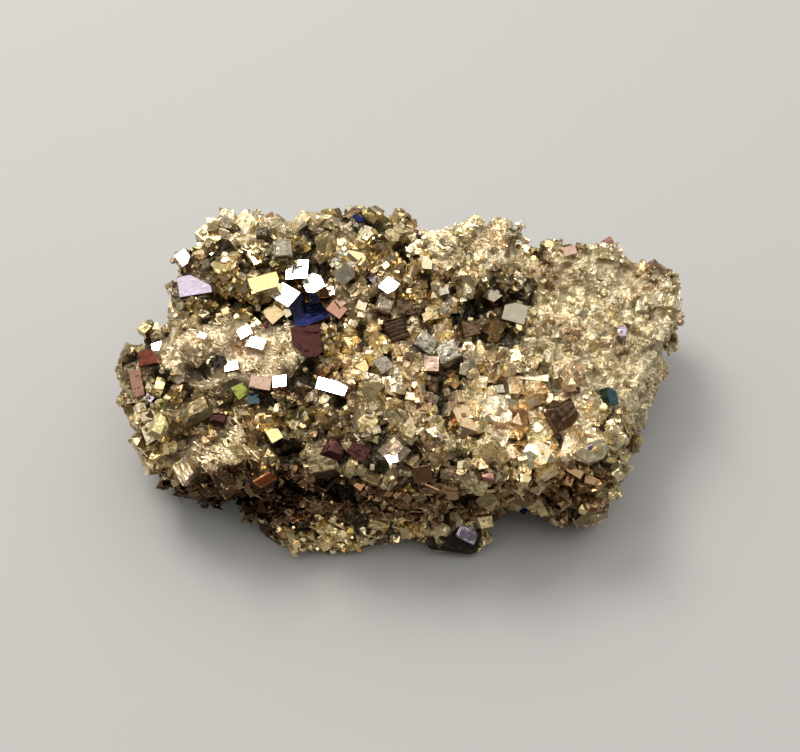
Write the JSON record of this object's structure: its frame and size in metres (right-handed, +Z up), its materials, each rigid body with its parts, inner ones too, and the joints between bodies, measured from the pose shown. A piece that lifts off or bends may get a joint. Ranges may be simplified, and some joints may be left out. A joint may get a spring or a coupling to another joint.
{
  "type": "pyrite specimen",
  "caption": "Hand-sized lump of grown-together pyrite with a druse of cube crystals on top, resting on a broken flat underside.",
  "frame": {"origin": "on the surface that it rests on, under the middle of its length and width", "axes": "+X along its length to the blunt paler end, +Y towards the high back ridge, +Z up from the face that it rests on"},
  "size_m": [0.0865, 0.0478, 0.0293],
  "materials": {
    "pyrite": "satin"
  },
  "bodies": {
    "root": {"pyrite_specimen": "pyrite"}
  },
  "joints": []
}
